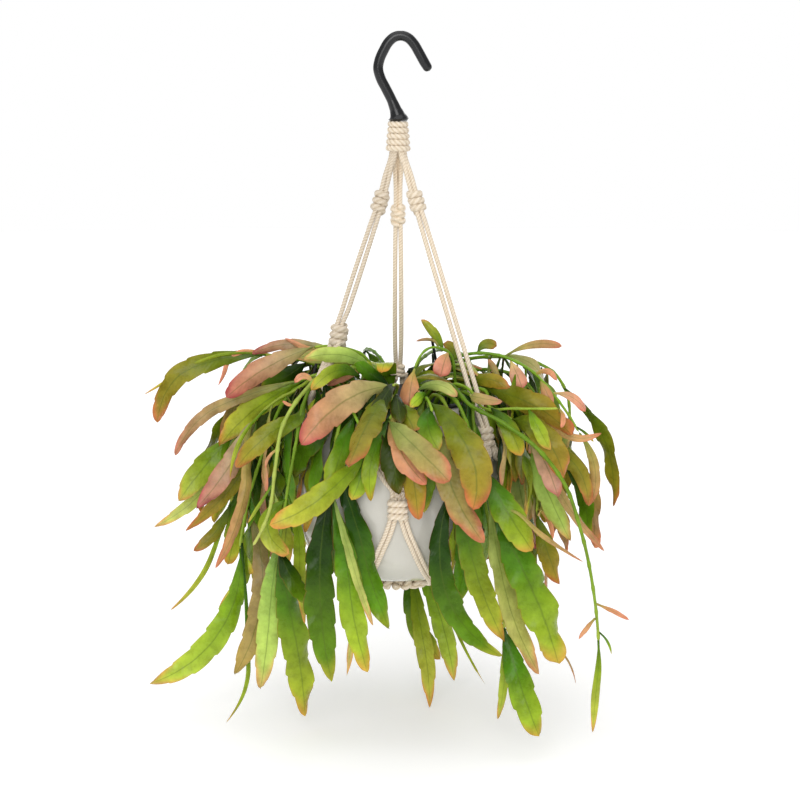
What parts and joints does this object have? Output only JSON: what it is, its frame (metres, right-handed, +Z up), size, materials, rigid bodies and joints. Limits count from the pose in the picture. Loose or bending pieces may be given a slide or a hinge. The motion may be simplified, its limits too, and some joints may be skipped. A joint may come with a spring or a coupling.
{
  "type": "potted hanging cactus",
  "caption": "Trailing flat-stemmed cactus in a round glazed pot, carried by a knotted cotton cord hanger with an open hook.",
  "frame": {"origin": "inner crown of the hook, where a rod or ring carries the object", "axes": "+Z up along the pot's axis, the front leg of the net knots towards -Y, the hook's open side towards +X"},
  "size_m": [0.4456, 0.4006, 0.64],
  "materials": {
    "hook_plastic": "moulded charcoal black plastic",
    "cotton_cord": "twisted cream cotton cord",
    "glazed_ceramic": "glossy off-white glaze",
    "black_plastic": "thin black plastic",
    "soil": "dark, crumbly potting soil",
    "flat_stems": "satin green plant skin with lime, rose and coral parts"
  },
  "bodies": {
    "root": {"arm_left": "black_plastic", "arm_right": "black_plastic", "base_ring": "cotton_cord", "grow_pot": "black_plastic", "hook": "hook_plastic", "leg_back": "cotton_cord", "leg_left": "cotton_cord", "leg_right": "cotton_cord", "net_knot_front": "cotton_cord", "net_knot_left_back": "cotton_cord", "net_knot_right_back": "cotton_cord", "pair_back_to_left_back": "cotton_cord", "pair_back_to_right_back": "cotton_cord", "pair_left_to_front": "cotton_cord", "pair_left_to_left_back": "cotton_cord", "pair_right_to_front": "cotton_cord", "pair_right_to_right_back": "cotton_cord", "pot": "glazed_ceramic", "soil": "soil", "spray_back_high_1": "flat_stems", "spray_back_high_2": "flat_stems", "spray_back_high_3": "flat_stems", "spray_back_high_4": "flat_stems", "spray_back_low_1": "flat_stems", "spray_back_low_2": "flat_stems", "spray_back_low_3": "flat_stems", "spray_back_low_4": "flat_stems", "spray_back_low_5": "flat_stems", "spray_back_low_6": "flat_stems", "spray_back_mid_1": "flat_stems", "spray_back_mid_2": "flat_stems", "spray_back_mid_3": "flat_stems", "spray_back_mid_4": "flat_stems", "spray_crown_loop": "flat_stems", "spray_front_dark": "flat_stems", "spray_front_left_long": "flat_stems", "spray_front_lime": "flat_stems", "spray_front_right_broad": "flat_stems", "spray_front_rose": "flat_stems", "spray_left_brown": "flat_stems", "spray_left_far": "flat_stems", "spray_left_high": "flat_stems", "spray_left_long_low": "flat_stems", "spray_left_low_green": "flat_stems", "spray_left_mid": "flat_stems", "spray_left_outer": "flat_stems", "spray_left_ribbon": "flat_stems", "spray_left_whip": "flat_stems", "spray_right_drop": "flat_stems", "spray_right_high_arch": "flat_stems", "spray_right_inner": "flat_stems", "spray_right_long_low": "flat_stems", "spray_right_low_arch": "flat_stems", "spray_right_lowest": "flat_stems", "spray_right_olive": "flat_stems", "spray_right_pink": "flat_stems", "spray_right_whip": "flat_stems", "spray_under_back": "flat_stems", "top_wrap": "cotton_cord"}
  },
  "joints": []
}
